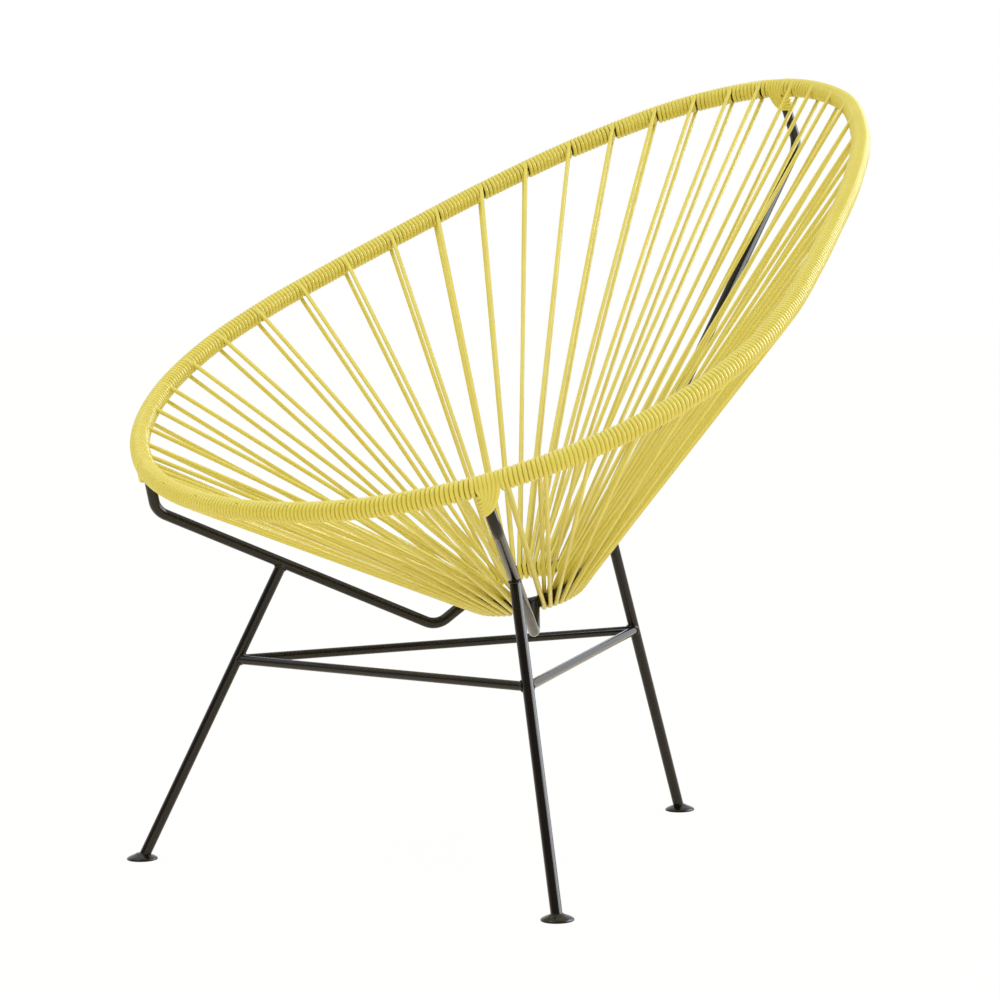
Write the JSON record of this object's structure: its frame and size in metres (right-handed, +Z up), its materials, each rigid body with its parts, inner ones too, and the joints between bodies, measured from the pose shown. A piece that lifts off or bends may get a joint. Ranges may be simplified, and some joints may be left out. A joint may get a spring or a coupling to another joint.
{
  "type": "strung lounge chair",
  "caption": "Reclined egg-shaped lounge chair: a wound hoop of round steel rod strung with plastic cord to a small ring, on splayed rod legs with domed foot discs.",
  "frame": {"origin": "on the floor, under the middle of the chair's overall box", "axes": "+Z up, the sitter faces -Y, +X at the sitter's left"},
  "size_m": [0.7796, 0.9378, 0.8467],
  "materials": {
    "frame_steel": "satin black powder coat",
    "cord_plastic": "smooth extruded vinyl, soft gloss, mustard yellow"
  },
  "bodies": {
    "root": {"cord_01": "cord_plastic", "cord_02": "cord_plastic", "cord_03": "cord_plastic", "cord_04": "cord_plastic", "cord_05": "cord_plastic", "cord_06": "cord_plastic", "cord_07": "cord_plastic", "cord_08": "cord_plastic", "cord_09": "cord_plastic", "cord_10": "cord_plastic", "cord_11": "cord_plastic", "cord_12": "cord_plastic", "cord_13": "cord_plastic", "cord_14": "cord_plastic", "cord_15": "cord_plastic", "cord_16": "cord_plastic", "cord_17": "cord_plastic", "cord_18": "cord_plastic", "cord_19": "cord_plastic", "cord_20": "cord_plastic", "cord_21": "cord_plastic", "cord_22": "cord_plastic", "cord_23": "cord_plastic", "cord_24": "cord_plastic", "cord_25": "cord_plastic", "cord_26": "cord_plastic", "cord_27": "cord_plastic", "crossbar_front": "frame_steel", "crossbar_left": "frame_steel", "crossbar_right": "frame_steel", "foot_back": "frame_steel", "foot_left": "frame_steel", "foot_right": "frame_steel", "hub_ring": "frame_steel", "lashing_back": "cord_plastic", "lashing_left": "cord_plastic", "lashing_right": "cord_plastic", "leg_back": "frame_steel", "leg_left": "frame_steel", "leg_right": "frame_steel", "rim_hoop": "frame_steel", "stay_back": "frame_steel", "stay_left": "frame_steel", "stay_right": "frame_steel"}
  },
  "joints": []
}
